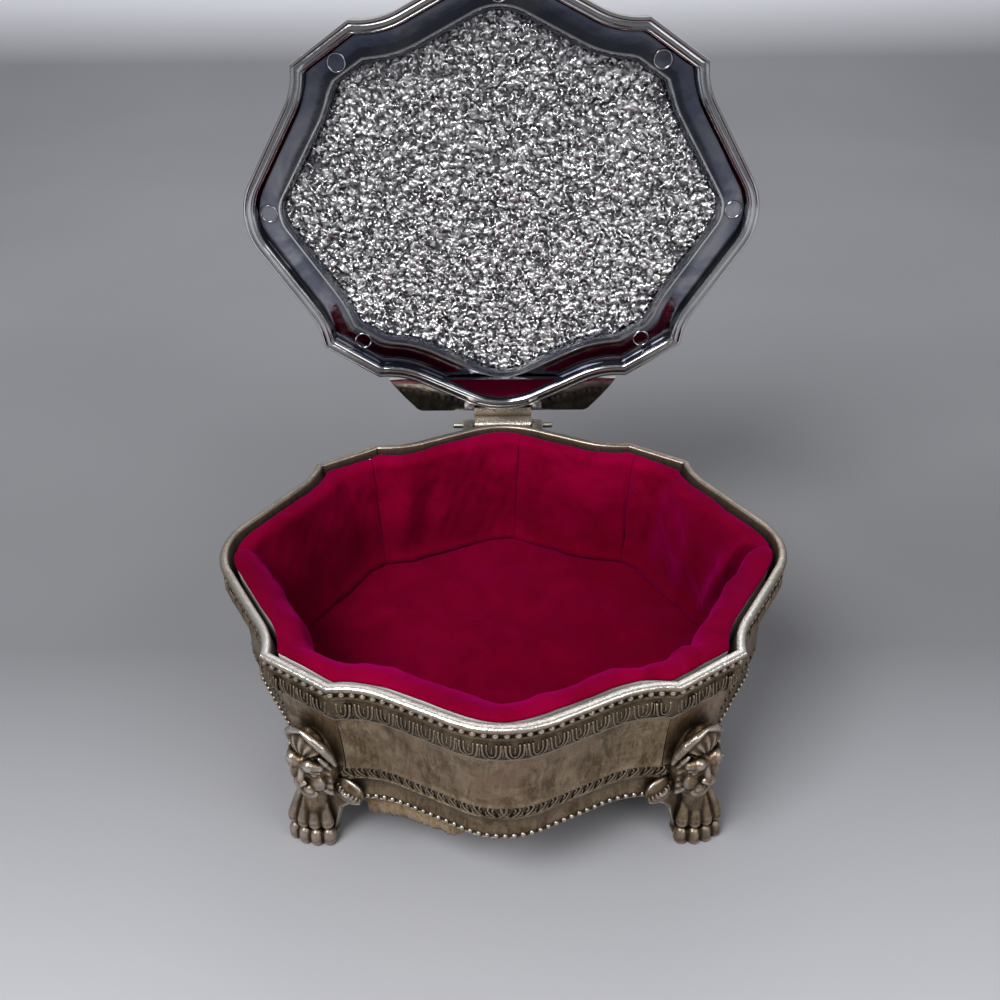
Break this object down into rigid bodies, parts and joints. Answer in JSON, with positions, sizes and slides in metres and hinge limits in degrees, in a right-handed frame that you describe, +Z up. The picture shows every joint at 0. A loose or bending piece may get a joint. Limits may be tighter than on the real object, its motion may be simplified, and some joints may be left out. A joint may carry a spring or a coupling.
{
  "type": "jewelry organizer box",
  "caption": "Footed cast metal jewellery casket with a bowed outline, lion mask corner legs, padded velvet lining and a hinged lid standing open",
  "frame": {"origin": "centre of the footprint on the floor, midway between the four paws", "axes": "+Z up, +X to the right seen from the front, -Y to the front, and the hinge along X at the back; the lid is stored open"},
  "size_m": [0.149, 0.1471, 0.1918],
  "materials": {
    "cast_metal": "aged silver plate on a white metal casting, dark in the hollows and bright on the edges",
    "lid_metal": "bright silver plate, polished on the rim and flange, textured in the panel",
    "pin_metal": "drawn wire, dull",
    "board": "thin fibreboard",
    "pad_felt": "ochre felt with a torn, fibrous edge",
    "card": "plain white card",
    "velvet": "crimson pile velvet over padding"
  },
  "bodies": {
    "case": {"front_panel": "cast_metal", "rear_panel": "cast_metal", "left_panel": "cast_metal", "right_panel": "cast_metal", "front_left_leg": "cast_metal", "front_right_leg": "cast_metal", "rear_left_leg": "cast_metal", "rear_right_leg": "cast_metal", "hinge_pin": "pin_metal", "bottom_board": "board", "bottom_pad": "pad_felt", "card_front": "card", "card_left": "card", "card_rear_left": "card", "card_rear_right": "card", "card_right": "card", "floor_card": "card", "velvet_front": "velvet", "velvet_left": "velvet", "velvet_rear_left": "velvet", "velvet_rear_right": "velvet", "velvet_right": "velvet", "floor_velvet": "velvet"},
    "lid": {"lid": "lid_metal"}
  },
  "joints": [
    {"name": "lid_hinge", "type": "hinge", "parent": "case", "child": "lid", "pos_m": [0, 0.0669, 0.062], "axis": [1, 0, 0], "range_deg": [0, 90]}
  ]
}
